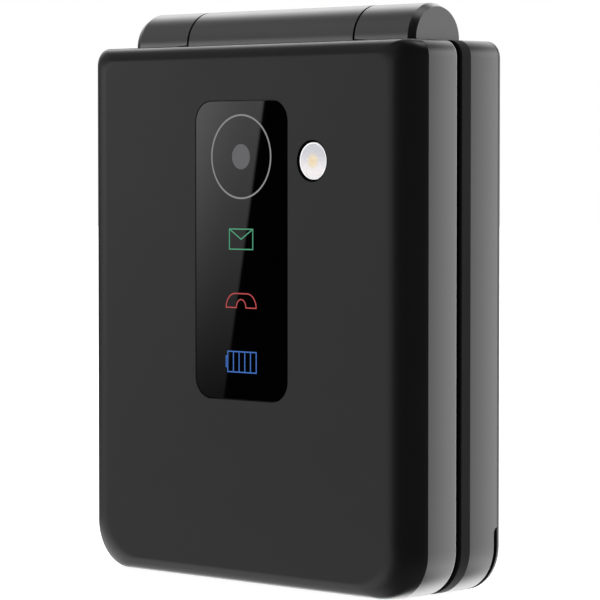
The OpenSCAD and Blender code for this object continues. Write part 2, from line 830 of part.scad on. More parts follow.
// The keypad face, its band and the two outer knuckles
module base_front_cover() {
    color(satin_black) difference() {
        union() {
            difference() {
                facing_front(y_base) rounded_plate(band_depth, edge_r);
                slab(y_base + face_wall, y_band + 1) outline(side_wall);
            }
            intersection() {
                slab(y_base + edge_r, y_band) outline();
                on_axis(-outer_x0, outer_x0, trough_r + trough_wall);
            }
            for (s = [0, 1]) mirror([s, 0, 0]) outer_knuckle();
            for (s = [-1, 1], z = base_screw_zs)
                post(s * screw_x, z, boss_r, y_base + face_wall - eps, y_board_back);
        }
        on_axis(-outer_x0, outer_x0, trough_r);
        slab(y_base - 1, y_base + face_wall + eps) key_openings(key_gap);
        post(mic_x, mic_z, 0.5, y_base - 1, y_base + face_wall + 1);
        on_axis(-pin_x0 - 0.2, -outer_x0 + 1, pin_r + running);
        intersection() {
            on_axis(outer_x0 - 1, outer_x0 + socket_depth, shaft_r + running);
            flatted_block(outer_x0 - 2, outer_x0 + socket_depth + 1, shaft_r - shaft_flat + running);
        }
        for (s = [-1, 1], z = base_screw_zs)
            post(s * screw_x, z, screw_r, y_base + face_wall + 0.6, y_board_back + 1);
    }
}

// Where the sockets leave through the lower edge
y_usb = y_board_back + usb_t / 2 + snug;
jack_x = body_w / 2 - jack_side;
jack_body_r = jack_r + 0.6;
jack_cut_w = 2 * (jack_body_r + 0.7);
jack_cut_high = jack_depth + 1.5;
mic_space = 8;
mic_x = jack_x - mic_space;
mic_z = 4.4;
y_jack = (y_band + y_rear - rear_wall) / 2;
y_volume = (y_band + y_rear) / 2;
volume_z = body_h - volume_drop;
volume_t = 2.6;
speaker_side = 17.5;
speaker_x = speaker_side - body_w / 2;
speaker_z = 13;
speaker_w = 16;
speaker_h = 11;

// The shell behind the keypad, with the battery bay
module base_rear_case() {
    color(satin_black) difference() {
        union() {
            difference() {
                slab(y_band + snug, y_rear) outline();
                slab(y_band, y_rear - rear_wall) outline(side_wall);
            }
            block(0, bay_w + 2 * bay_wall, y_bay - bay_floor, y_rear - eps,
                bay_low - bay_wall, bay_high + bay_wall);
            intersection() {
                slab(y_band + snug, y_rear) outline();
                on_axis(-trough_x - trough_wall, trough_x + trough_wall, trough_r + trough_wall);
            }
            for (s = [-1, 1], z = base_screw_zs)
                post(s * screw_x, z, boss_r, y_board_back + snug, y_rear - eps);
        }
        on_axis(-outer_x0, outer_x0, trough_r);
        on_axis(-trough_x, trough_x, barrel_r + snug);
        block(0, bay_w, y_bay, y_rear + 1, bay_low, bay_high);
        block(sim_x, sim_w + 2 * snug, y_board_back, y_bay + 1, sim_low - snug, sim_low + sim_h + snug);
        block(0, contact_w + 2 * snug, y_board_back, y_rear - rear_wall,
            bay_low - contact_h - contact_clear, bay_low + 1);
        block(0, usb_w + 2 * loose, y_usb - usb_t / 2 - loose, y_usb + usb_t / 2 + loose,
            -1, side_wall + 1);
        translate([jack_x, y_jack, -1]) cylinder(r = jack_body_r + snug, h = side_wall + 2);
        block(
            -body_w / 2, 2 * side_wall + 1,
            y_volume - volume_t / 2 - key_gap, y_volume + volume_t / 2 + key_gap,
            volume_z - volume_length / 2 - key_gap, volume_z + volume_length / 2 + key_gap
        );
        speaker_slots(y_rear - rear_wall - 1, y_rear + 1);
        for (s = [-1, 1], z = base_screw_zs) {
            post(s * screw_x, z, screw_head_r + loose, y_rear - screw_head_t - screw_sink, y_rear + 1);
            post(s * screw_x, z, screw_r + loose, y_board_back, y_rear);
        }
        tabs(rear_wall + 1, 0.2);
        prise_notch();
    }
}

// A slot in the rim round the lower right corner, under the battery cover
module prise_notch() {
    intersection() {
        difference() {
            slab(y_rear - 1, y_rear + 1) outline(-1);
            slab(y_rear - 2, y_rear + 2) outline(side_wall);
        }
        translate([body_w / 2, y_rear, 0]) rotate([0, -45, 0]) linear_extrude(notch_length)
            pill(notch_length, 2 * notch_depth);
    }
}

// The row of slots that lets the loudspeaker sound out of the back
module speaker_slots(y0, y1) {
    slots = 5;
    pitch = 2.2;
    for (i = [0:slots - 1])
        translate([speaker_x + (i - (slots - 1) / 2) * pitch, 0, 0])
            slab(y0, y1) round_rect(1, speaker_z - 3.5, speaker_z + 3.5, 0.45, 0.45);
}

contact_w = 9;
contact_h = 2.6;
contact_clear = 0.4;
contact_count = 3;
contact_space = 1.5;

// The tabs that hold the battery cover: above the bay and below it
tab_w = 8;
tab_t = 0.8;
tab_depth = 0.9;
tab_rise = bay_wall + 1.5;
tab_side = 9.5;
tab_xzs = [
    for (i = [-1:1]) [i * battery_w / 3, bay_high + tab_rise],
    [-contact_w / 2 - contact_space - tab_w / 2, bay_low - tab_rise],
    [body_w / 2 - tab_side, bay_low - tab_rise]
];

module tabs(depth, gap) {
    for (p = tab_xzs)
        block(p.x, tab_w + 2 * gap, y_rear - depth, y_rear + snug + eps,
            p.y - tab_t / 2 - gap, p.y + tab_t / 2 + gap);
}

module battery_cover() {
    color(satin_black) difference() {
        union() {
            facing_back(y_back) rounded_plate(back_t - snug, edge_r);
            tabs(tab_depth, 0);
        }
        speaker_slots(y_rear - 1, y_back + 1);
        on_axis(-trough_x, trough_x, barrel_r + snug);
    }
}

module battery() {
    color(dark_plastic) slab(y_bay + snug, y_bay + battery_t)
        round_rect(battery_w, battery_low, battery_low + battery_h, 1, 1);
}

// The contact block at the battery's lower edge, with its sprung blades
module battery_contacts() {
    y0 = y_board_back + snug;
    blade_pitch = 2.6;
    blade_w = 1.2;
    blade_t = 1.4;
    y_blade = y_bay + 0.6;
    color(dark_plastic)
        block(0, contact_w, y0, y_rear - rear_wall - snug, bay_low - contact_h, bay_low - bay_wall);
    color(gold) for (i = [0:contact_count - 1])
        block((i - (contact_count - 1) / 2) * blade_pitch, blade_w, y_blade, y_blade + blade_t,
            bay_low - bay_wall - eps, battery_low - 0.1);
}

// The main board, notched at both sides and round the headset socket
module main_board() {
    low_r = 3;
    high_r = 1;
    notch_w = 3;
    notch_low = 48.4;
    notch_h = 4.4;
    color(board_green) difference() {
        slab(y_board, y_board_back) round_rect(board_w, board_low, board_high, low_r, high_r);
        block(jack_x, jack_cut_w, y_board - 1, y_board_back + 1, 0, jack_cut_high);
        for (s = [-1, 1])
            block(s * board_w / 2, notch_w, y_board - 1, y_board_back + 1, notch_low,
                notch_low + notch_h);
    }
}

shield_t = 1.8;
shield_wall = 0.3;
shield_space = 2.2;
shield_side = 2;
shield_w = 2 * (-speaker_x - speaker_w / 2 - shield_side);

// The pressed can over the radio chips
module board_shield() {
    low = usb_depth + shield_space;
    high = bay_low - bay_wall - shield_space - 1;
    color(steel) difference() {
        block(0, shield_w, y_board_back + snug, y_board_back + shield_t, low, high);
        block(0, shield_w - 2 * shield_wall, y_board_back, y_board_back + shield_t - shield_wall,
            low + shield_wall, high - shield_wall);
    }
}

// The sheet of snap domes under the keys
module dome_sheet() {
    dome_r = 2;
    ball_r = (pow(dome_r, 2) + pow(dome_rise, 2)) / (2 * dome_rise);
    y0 = y_board - dome_sheet_t;
    color(steel) {
        difference() {
            block(0, board_w - 2, y0, y_board - eps, key_floor, nav_z + nav_r);
            block(jack_x, jack_cut_w, y0 - 1, y_board, 0, jack_cut_high);
        }
        for (p = plunger_xzs) intersection() {
            post(p.x, p.y, dome_r, y0 - dome_rise, y0 + eps);
            translate([p.x, y0 - dome_rise + ball_r, p.y]) sphere(ball_r);
        }
    }
}

// The rubber mat, with a hole for each key's plunger
module keypad_mat() {
    color(rubber_grey) difference() {
        block(0, board_w - 1, y_mat, y_mat + mat_t, key_floor - 1, nav_z + nav_r + 1);
        for (p = plunger_xzs) post(p.x, p.y, plunger_r + 0.3, y_mat - 1, y_mat + mat_t + 1);
    }
}

sim_w = 16;
sim_h = 14;
sim_x = (sim_w - battery_w) / 2 + 5;
sim_low = battery_low + 7;

module sim_holder() {
    color(steel) difference() {
        block(sim_x, sim_w, y_board_back + snug, y_bay - snug, sim_low, sim_low + sim_h);
        block(sim_x, sim_w - 2, y_board_back + snug + 0.25, y_bay - snug - 0.2,
            sim_low + 1, sim_low + sim_h + 1);
    }
}

// The charging socket's shell and its tongue
module usb_port() {
    shell = 0.3;
    half_t = usb_t / 2;
    color(steel) difference() {
        translate([0, y_usb, 0.1]) linear_extrude(usb_depth) pill(usb_w, usb_t);
        translate([0, y_usb, -1]) linear_extrude(usb_depth + 1 - shell)
            pill(usb_w - 2 * shell, usb_t - 2 * shell);
    }
    color(dark_plastic)
        block(0, usb_w - 2.4, y_usb - half_t / 4, y_usb + half_t / 4, 1, usb_depth);
}

// A rounded slot shape round its own middle
module pill(w, t) {
    square([w - t, t], center = true);
    for (s = [-1, 1]) translate([s * (w - t) / 2, 0]) circle(t / 2);
}

// The headset socket: a sleeve that reaches the lower edge, and its contact box
module headset_jack() {
    box_w = 2 * jack_body_r + 0.6;
    color(dark_plastic) difference() {
        union() {
            translate([jack_x, y_jack, 0.1]) cylinder(r = jack_body_r, h = jack_depth + 1);
            block(jack_x, box_w, y_jack - jack_body_r, y_jack + jack_body_r, side_wall + 1, jack_depth + 1.1);
        }
        translate([jack_x, y_jack, -1]) cylinder(r = jack_r, h = jack_depth + 1.1);
    }
}

module loudspeaker() {
    y0 = y_board_back + 0.3;
    color(dark_plastic) translate([speaker_x, 0, speaker_z]) slab(y0, y_rear - rear_wall - snug)
        round_rect(speaker_w, -speaker_h / 2, speaker_h / 2, 2, 2);
}

module microphone() {
    w = 3.8;
    h = 3;
    t = 1;
    color(steel) block(mic_x, w, y_board - t, y_board - snug, mic_z - h / 2, mic_z + h / 2);
}

motor_r = 4;
motor_t = 2.6;
motor_x = body_w / 2 - 11;
motor_z = 13;

// The coin-shaped vibration motor
module vibration_motor() {
    y0 = y_board_back + snug;
    color(steel) {
        post(motor_x, motor_z, motor_r, y0, y0 + motor_t);
        post(motor_x, motor_z, motor_r / 4, y0 + motor_t - eps, y0 + motor_t + 0.2);
    }
}

module base_screws() {
    color(steel) for (s = [-1, 1], z = base_screw_zs)
        screw(s * screw_x, z, y_rear - screw_sink, base_screw_length);
}

// ---- Keys ----

// A key: a crowned cap, a flange behind the cover and a plunger towards its dome
module key(w, h) {
    y0 = y_base - key_proud;
    intersection() {
        slab(y0 - 1, y_flange + eps) key_shape(w, h, 0);
        crown(y0);
    }
    slab(y_flange, y_flange + flange_t) key_shape(w, h, flange_w);
    post(0, 0, plunger_r, y_flange, y_plunger);
}

// The long shallow cylinder that gives a key its crown
module crown(y0) {
    translate([0, y0 + crown_r, 0]) rotate([0, 90, 0])
        cylinder(r = crown_r, h = body_w, center = true, $fn = 180);
}

module digit_key(i) {
    p = key_place(i);
    color(gloss_black) translate([p.x, 0, p.y]) key(key_w, key_h);
}

module side_key(s, level) {
    color(gloss_black) translate([s * side_key_x, 0, side_key_zs[level]]) key(side_key_w, key_h);
}

// The four-way ring and its four plungers
module nav_ring() {
    y0 = y_base - key_proud;
    color(gloss_black) translate([0, 0, nav_z]) difference() {
        union() {
            post(0, 0, nav_r, y0, y_nav_flange + eps);
            post(0, 0, nav_r + flange_w, y_nav_flange, y_nav_flange + nav_flange_t);
            for (a = [0:90:270])
                post(nav_press_r * cos(a), nav_press_r * sin(a), plunger_r, y_nav_flange, y_plunger);
        }
        post(0, 0, ok_r + flange_w + 1.5 * key_gap, y_flange - 0.3, y_plunger);
        post(0, 0, ok_r + key_gap, y0 - 1, y_plunger);
        translate([0, y0 - 1.2, 0]) rotate_extrude_y() translate([nav_press_r, 0]) circle(1.5);
    }
}

// A ring round the y axis from a profile
module rotate_extrude_y() {
    rotate([-90, 0, 0]) rotate_extrude() children();
}

module ok_key() {
    y0 = y_base - key_proud;
    color(gloss_black) translate([0, 0, nav_z]) {
        intersection() {
            post(0, 0, ok_r, y0 - 1, y_flange + eps);
            translate([0, y0 + crown_r, 0]) sphere(crown_r, $fn = 180);
        }
        post(0, 0, ok_r + flange_w, y_flange, y_flange + flange_t);
        post(0, 0, plunger_r, y_flange, y_plunger);
    }
}

// The rocker in the left side, with its flange inside the wall
module volume_key() {
    x0 = -body_w / 2 - volume_proud;
    flange_x = -body_w / 2 + side_wall + 0.4;
    half_t = volume_t / 2 + flange_w;
    half_length = volume_length / 2 + flange_w;
    color(gloss_black) {
        translate([x0, y_volume, volume_z]) rotate([0, 90, 0])
            linear_extrude(flange_x - x0 + eps) pill(volume_length, volume_t);
        block(flange_x + flange_t / 2, flange_t, y_volume - half_t, y_volume + half_t,
            volume_z - half_length, volume_z + half_length);
    }
}

lid_front_cover();
lid_inner_cover();
window_glass();
camera_module();
torch_lens();
torch_reflector();
torch_led();
light_guide();
indicator_board();
lid_board();
display_module();
display_frame();
display_glass();
earpiece();
earpiece_grille();
lid_magnet();
lid_screws();
lid_bumpers();
hinge_cartridge();
hinge_spring();
hinge_cam_follower();
hinge_cam_head();
hinge_pin();
hinge_flex();
base_front_cover();
base_rear_case();
battery_cover();
battery();
battery_contacts();
main_board();
board_shield();
dome_sheet();
keypad_mat();
sim_holder();
usb_port();
headset_jack();
loudspeaker();
microphone();
vibration_motor();
base_screws();
side_key(-1, 1);  // soft_key_left
side_key(1, 1);  // soft_key_right
side_key(-1, 0);  // call_key
side_key(1, 0);  // end_key
nav_ring();
ok_key();
digit_key(0);  // key_1
digit_key(1);  // key_2
digit_key(2);  // key_3
digit_key(3);  // key_4
digit_key(4);  // key_5
digit_key(5);  // key_6
digit_key(6);  // key_7
digit_key(7);  // key_8
digit_key(8);  // key_9
digit_key(9);  // key_star
digit_key(10);  // key_0
digit_key(11);  // key_hash
volume_key();
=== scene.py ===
"""Looks of the flip phone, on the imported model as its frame. Lengths are in metres."""
import json
import math

import bmesh
import bpy
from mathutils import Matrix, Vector


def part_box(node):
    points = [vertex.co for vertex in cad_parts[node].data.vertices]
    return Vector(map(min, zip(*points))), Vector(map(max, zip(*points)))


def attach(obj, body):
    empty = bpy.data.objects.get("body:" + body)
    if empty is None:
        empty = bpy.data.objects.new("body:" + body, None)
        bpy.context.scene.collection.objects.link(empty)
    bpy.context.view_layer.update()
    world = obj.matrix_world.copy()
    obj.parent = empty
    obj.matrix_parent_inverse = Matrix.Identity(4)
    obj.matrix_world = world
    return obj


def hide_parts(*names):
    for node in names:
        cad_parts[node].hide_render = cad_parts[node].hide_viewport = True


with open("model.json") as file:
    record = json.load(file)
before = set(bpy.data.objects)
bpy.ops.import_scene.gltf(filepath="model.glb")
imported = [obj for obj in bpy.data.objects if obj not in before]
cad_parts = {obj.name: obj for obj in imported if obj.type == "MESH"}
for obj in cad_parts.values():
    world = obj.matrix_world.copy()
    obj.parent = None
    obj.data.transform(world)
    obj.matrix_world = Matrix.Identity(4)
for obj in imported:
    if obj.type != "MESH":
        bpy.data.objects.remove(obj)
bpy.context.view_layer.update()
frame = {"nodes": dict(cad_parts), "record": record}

nodes = frame["nodes"]
MM = 0.001

# The body and its levels from front to rear, as in the CAD model
BODY_W = 75 * MM
BODY_H = 88 * MM
Y_FRONT = -10.5 * MM
Y_PART = -6.8 * MM
Y_LID = 0.1 * MM
Y_BASE = 0.7 * MM
Y_BAND = 3.1 * MM
Y_REAR = 9.7 * MM

# The hinge barrel
HINGE_Y = 1.6 * MM
HINGE_Z = 88.3 * MM
BARREL_R = 5.7 * MM

# The lid's front cover: corners, rounded edges and walls
CORNER_LOW_R = 7.6 * MM
CORNER_HIGH_R = 2.7 * MM
ROUND_SIDE = 5.5 * MM
ROUND_TOP = 2.5 * MM
ROUND_BOTTOM = 2.4 * MM
ROUND_ANGLE = math.radians(68)
SIDE_WALL = 1.2 * MM
COVER_WALL = 1.5 * MM

# The window and the print on it
WINDOW_W = 20.9 * MM
WINDOW_LOW = 30.2 * MM
WINDOW_HIGH = 78.7 * MM
WINDOW_R = 3.4 * MM
WINDOW_DEPTH = 0.9 * MM
WINDOW_LEDGE = 1.4 * MM
WINDOW_GAP = 0.16 * MM
PRINT_Y = (Y_FRONT + 0.02 * MM, Y_FRONT + 0.06 * MM)
CAMERA_Z = 69.7 * MM
CAMERA_RING_R = 6.75 * MM
CAMERA_RING_LINE = 0.28 * MM
CAMERA_DOT_R = 2.05 * MM
ICON_ZS = [56.3 * MM, 46.3 * MM, 36.3 * MM]
ICON_LINE = 0.19 * MM

# The torch in its well
TORCH_X = 16 * MM
TORCH_Z = 69 * MM
TORCH_R = 2.95 * MM
TORCH_HOLE_R = 3.35 * MM
TORCH_WELL_R = 3.13 * MM
TORCH_RIM_W = 0.17 * MM
TORCH_DEPTH = 0.28 * MM
TORCH_DOME = 0.12 * MM

# The keys' crowned faces and the print on them
KEY_FACE_Y = Y_BASE - 0.2 * MM
KEY_CROWN_R = 24 * MM
KEY_TEXT = 5.2 * MM
KEY_PRINT_T = 0.06 * MM

# The photograph's camera: place, turn and tilt in degrees, lens and sensor in millimetres
VIEW_FROM = (0.369145, -0.378935, 0.068527)
VIEW_TURN = 44
VIEW_DOWN = 2.428
VIEW_LENS = 192.57
VIEW_SENSOR = 36

FLOOR_R = 3
FLOOR_DROP = 0.05 * MM

SATIN_BLACK = (0.006, 0.006, 0.0065)
# How far the shading of a flat side band leans out at its two edges
BAND_LEAN = math.radians(3.5)
# Faces of the front cover whose normals rise above this get painted shade for the barrel's shadow
SHADE_FROM = math.sin(math.radians(72))
# Edges that turn by more than this stay sharp
SHARP_ANGLE = math.radians(32)
# Points round a circle
CIRCLE_COUNT = 96


# ---- Node trees ----

def add(tree, kind, **values):
    """Adds a node; values name its properties, or its input sockets with spaces as underscores."""
    node = tree.nodes.new(kind)
    for key, value in values.items():
        if hasattr(node, key):
            setattr(node, key, value)
        else:
            node.inputs[key.replace("_", " ")].default_value = value
    return node


def feed(tree, source, socket):
    """Gives a socket its value: from another socket, or as a constant."""
    if isinstance(source, bpy.types.NodeSocket):
        tree.links.new(source, socket)
    else:
        socket.default_value = source


def maths(tree, operation, *sources):
    """A Math node on one or two sockets or numbers, giving its result socket."""
    node = add(tree, "ShaderNodeMath", operation=operation)
    for i, source in enumerate(sources):
        feed(tree, source, node.inputs[i])
    return node.outputs[0]


def smooth(tree, value, low, high):
    """0 below low, 1 above high, and a smooth step between them."""
    node = add(
        tree, "ShaderNodeMapRange", interpolation_type="SMOOTHSTEP", From_Min=low, From_Max=high)
    tree.links.new(value, node.inputs["Value"])
    return node.outputs["Result"]


def outside(tree, mask):
    """What a mask leaves: 1 minus it."""
    return maths(tree, "SUBTRACT", 1, mask)


def fall(tree, value, low, high):
    """1 below low, 0 above high, and a smooth step between them."""
    return outside(tree, smooth(tree, value, low, high))


def product(tree, *factors):
    """The product of several sockets."""
    total = factors[0]
    for factor in factors[1:]:
        total = maths(tree, "MULTIPLY", total, factor)
    return total


def blend(tree, share, first, second, **settings):
    """The mix of two colours, each an (r, g, b, a) value or a socket, by a share from 0 to 1."""
    node = add(tree, "ShaderNodeMix", data_type="RGBA", **settings)
    factor, colour_a, colour_b = node.inputs[0], node.inputs[6], node.inputs[7]
    feed(tree, share, factor)
    feed(tree, first, colour_a)
    feed(tree, second, colour_b)
    return node.outputs[2]


# ---- Studio ----

def make_camera():
    """The photograph's view: from the right, a little above, with a long lens."""
    data = bpy.data.cameras.new("camera")
    data.lens = VIEW_LENS
    data.sensor_width = VIEW_SENSOR
    data.clip_start = 0.01
    data.clip_end = 20
    camera = bpy.data.objects.new("camera", data)
    camera.location = VIEW_FROM
    camera.rotation_euler = (math.radians(90 - VIEW_DOWN), 0, math.radians(VIEW_TURN))
    bpy.context.scene.collection.objects.link(camera)
    bpy.context.scene.camera = camera


def directions(tree):
    """A ray's azimuth from -y and from +y, both growing towards +x, and its height, in degrees."""
    axes = add(tree, "ShaderNodeSeparateXYZ")
    tree.links.new(add(tree, "ShaderNodeTexCoord").outputs["Generated"], axes.inputs[0])
    x, y, z = axes.outputs
    ahead = maths(tree, "MULTIPLY", y, -1)
    angles = [
        maths(tree, "ARCTAN2", x, ahead),
        maths(tree, "ARCTAN2", x, y),
        maths(tree, "ARCSINE", z),
    ]
    return [maths(tree, "MULTIPLY", angle, 180 / math.pi) for angle in angles]


def box_mask(tree, across, up, limits, soft):
    """1 inside a soft box of directions, from limits = (low, high) across and (low, high) up."""
    (a0, a1), (u0, u1) = limits
    return product(
        tree, smooth(tree, across, a0 - soft, a0 + soft), fall(tree, across, a1 - soft, a1 + soft),
        smooth(tree, up, u0 - soft, u0 + soft), fall(tree, up, u1 - soft, u1 + soft))


def left_wall(tree, front, up):
    """A wall at the front left that fades on all sides, with a dark slanting stripe.

    The wall lights the front face, and the window mirrors the stripe's sharp left edge.
    """
    round_left = maths(tree, "MULTIPLY", front, -1)
    wall = product(
        tree, smooth(tree, up, -5.8, 2.5), fall(tree, up, 1, 13),
        fall(tree, front, -24, -12), fall(tree, round_left, 36, 102))

    edge_left, edge_up, edge_lean = 44.65, 1.08, 0.136
    slant = maths(tree, "MULTIPLY", maths(tree, "SUBTRACT", up, edge_up), edge_lean)
    past_edge = maths(tree, "SUBTRACT", maths(tree, "ADD", front, edge_left), slant)
    stripe = product(tree, smooth(tree, past_edge, -0.03, 0.03), fall(tree, past_edge, 3, 7))
    dimmed = maths(tree, "MULTIPLY", smooth(tree, past_edge, -1.8, -0.1), 0.5)
    return product(tree, wall, outside(tree, stripe), outside(tree, dimmed))


def right_light(tree, rear, up):
    """The broad light behind the phone on the right, which the side bands mirror."""
    return product(
        tree, fall(tree, rear, 18, 72), smooth(tree, rear, -30, 0),
        smooth(tree, up, -48, -24), fall(tree, up, 16, 38))


def studio_light(tree):
    """The strength of the studio's light in each direction."""
    front, rear, up = directions(tree)
    room_light = 0.01
    # Each mask with its strength; its limits and its soft edge are in degrees
    masks = [
        # At the front left: the wall, and boxes below it, far below it and above it
        (left_wall(tree, front, up), 3.0),
        (box_mask(tree, front, up, ((-115, -22), (-30, -10)), 5), 1.5),
        (box_mask(tree, front, up, ((-170, -28), (-66, -30)), 8), 1.2),
        (box_mask(tree, front, up, ((-125, -16), (14, 50)), 10), 0.37),
        # Behind: the broad light, boxes at the left above and below, and one high on the right
        (right_light(tree, rear, up), 6.3),
        (box_mask(tree, rear, up, ((-72, 5), (14, 46)), 20), 3.3),
        (box_mask(tree, rear, up, ((-60, 6), (-62, -18)), 8), 3.5),
        (box_mask(tree, rear, up, ((15, 85), (58, 85)), 10), 3.6),
        # The ground and the ceiling
        (fall(tree, up, -40, -14), 0.1),
        (smooth(tree, up, 60, 80), 0.8),
    ]
    total = room_light
    for mask, strength in masks:
        total = maths(tree, "ADD", maths(tree, "MULTIPLY", mask, strength), total)
    return total


def make_studio():
    """A studio that the camera sees as plain white, and all else as soft boxes in the dark."""
    world = bpy.data.worlds.new("studio")
    bpy.context.scene.world = world
    world.use_nodes = True
    tree = world.node_tree
    tree.nodes.clear()
    lit = add(tree, "ShaderNodeBackground")
    tree.links.new(studio_light(tree), lit.inputs["Strength"])
    seen = add(tree, "ShaderNodeBackground", Color=(1, 1, 1, 1), Strength=1.0)
    rays = add(tree, "ShaderNodeLightPath")
    mix = add(tree, "ShaderNodeMixShader")
    out = add(tree, "ShaderNodeOutputWorld")
    tree.links.new(rays.outputs["Is Camera Ray"], mix.inputs[0])
    tree.links.new(lit.outputs[0], mix.inputs[1])
    tree.links.new(seen.outputs[0], mix.inputs[2])
    tree.links.new(mix.outputs[0], out.inputs["Surface"])


def make_floor():
    """A pale round floor just below the phone, which reflections look through."""
    mesh = bpy.data.meshes.new("floor")
    bm = bmesh.new()
    bmesh.ops.create_circle(bm, cap_ends=True, segments=CIRCLE_COUNT, radius=FLOOR_R)
    bmesh.ops.translate(bm, vec=(0, 0, -FLOOR_DROP), verts=bm.verts)
    bm.to_mesh(mesh)
    bm.free()
    floor = bpy.data.objects.new("floor", mesh)
    bpy.context.scene.collection.objects.link(floor)
    floor.visible_glossy = False
    paper = plain("floor_paper", (0.86, 0.86, 0.86), 0.8, glow=((1, 1, 1), 0.95))
    floor.data.materials.append(paper)


# ---- Materials ----

def plain(name, colour, rough, metal=0.0, glow=None, ior=1.5):
    """A Principled material with one value on each socket; glow = (colour, strength)."""
    material = bpy.data.materials.new(name)
    material.use_nodes = True
    shader = material.node_tree.nodes["Principled BSDF"]
    shader.inputs["Base Color"].default_value = (*colour, 1)
    shader.inputs["Roughness"].default_value = rough
    shader.inputs["Metallic"].default_value = metal
    shader.inputs["IOR"].default_value = ior
    if glow:
        glow_colour, strength = glow
        shader.inputs["Emission Color"].default_value = (*glow_colour, 1)
        shader.inputs["Emission Strength"].default_value = strength
    return material


def grained(name, colour, rough, grain=0.12 * MM, depth=0.002 * MM, spread=0.03, band=None, **rest):
    """A material with a fine grain in its surface and a faint cloud in its gloss and colour.

    band = (y0, y1) bends the light as if the surface were a little round from y0 to y1.
    """
    cloud = 9 * MM
    darker, lighter = 0.92, 1.08
    material = plain(name, colour, rough, **rest)
    tree = material.node_tree
    shader = tree.nodes["Principled BSDF"]
    place = add(tree, "ShaderNodeTexCoord").outputs["Object"]
    fine = add(tree, "ShaderNodeTexNoise", Scale=1 / grain, Detail=2.0)
    wide = add(tree, "ShaderNodeTexNoise", Scale=1 / cloud, Detail=3.0)
    for noise in (fine, wide):
        tree.links.new(place, noise.inputs["Vector"])
    bump = add(tree, "ShaderNodeBump", Strength=0.5, Distance=depth)
    tree.links.new(fine.outputs["Fac"], bump.inputs["Height"])
    tree.links.new(bump.outputs["Normal"], shader.inputs["Normal"])
    if band:
        tree.links.new(band_normal(tree, place, *band), bump.inputs["Normal"])
    gloss = add(tree, "ShaderNodeMapRange", To_Min=rough - spread, To_Max=rough + spread)
    tree.links.new(wide.outputs["Fac"], gloss.inputs["Value"])
    tree.links.new(gloss.outputs["Result"], shader.inputs["Roughness"])
    tint = blend(
        tree, wide.outputs["Fac"],
        (*[c * darker for c in colour], 1), (*[min(c * lighter, 1) for c in colour], 1))
    tree.links.new(tint, shader.inputs["Base Color"])
    return material


def band_normal(tree, place, y0, y1):
    """A normal that leans out by BAND_LEAN at y0 and at y1, as on a slightly round band."""
    axes = add(tree, "ShaderNodeSeparateXYZ")
    tree.links.new(place, axes.inputs[0])
    off = maths(tree, "SUBTRACT", axes.outputs["Y"], (y0 + y1) / 2)
    bend = -math.tan(BAND_LEAN) / (y1 - y0)
    height = maths(tree, "MULTIPLY", maths(tree, "MULTIPLY", off, off), bend)
    bump = add(tree, "ShaderNodeBump", Strength=1.0, Distance=1.0)
    tree.links.new(height, bump.inputs["Height"])
    return bump.outputs["Normal"]


def brushed(name, colour, rough):
    """Metal drawn along x, with fine lines in its gloss."""
    along, across = 200, 6000
    material = plain(name, colour, rough, metal=1.0)
    tree = material.node_tree
    shader = tree.nodes["Principled BSDF"]
    place = add(tree, "ShaderNodeTexCoord").outputs["Object"]
    stretch = add(tree, "ShaderNodeMapping", Scale=(along, across, across))
    lines = add(tree, "ShaderNodeTexNoise", Scale=1.0, Detail=2.0)
    gloss = add(tree, "ShaderNodeMapRange", To_Min=rough * 0.7, To_Max=rough * 1.3)
    tree.links.new(place, stretch.inputs["Vector"])
    tree.links.new(stretch.outputs[0], lines.inputs["Vector"])
    tree.links.new(lines.outputs["Fac"], gloss.inputs["Value"])
    tree.links.new(gloss.outputs["Result"], shader.inputs["Roughness"])
    return material


def circuit(name):
    """Green solder mask with faint copper runs under it."""
    green, lighter, darker = (0.01, 0.12, 0.05), (0.02, 0.19, 0.08), (0.008, 0.08, 0.035)
    material = grained(name, green, 0.3)
    tree = material.node_tree
    shader = tree.nodes["Principled BSDF"]
    place = add(tree, "ShaderNodeTexCoord").outputs["Object"]
    runs = add(
        tree, "ShaderNodeTexBrick", Scale=450.0,
        Color1=(*green, 1), Color2=(*lighter, 1), Mortar=(*darker, 1))
    upright = add(tree, "ShaderNodeMapping", Rotation=(math.radians(90), 0, 0))
    tree.links.new(place, upright.inputs["Vector"])
    tree.links.new(upright.outputs[0], runs.inputs["Vector"])
    tree.links.new(runs.outputs["Color"], shader.inputs["Base Color"])
    return material


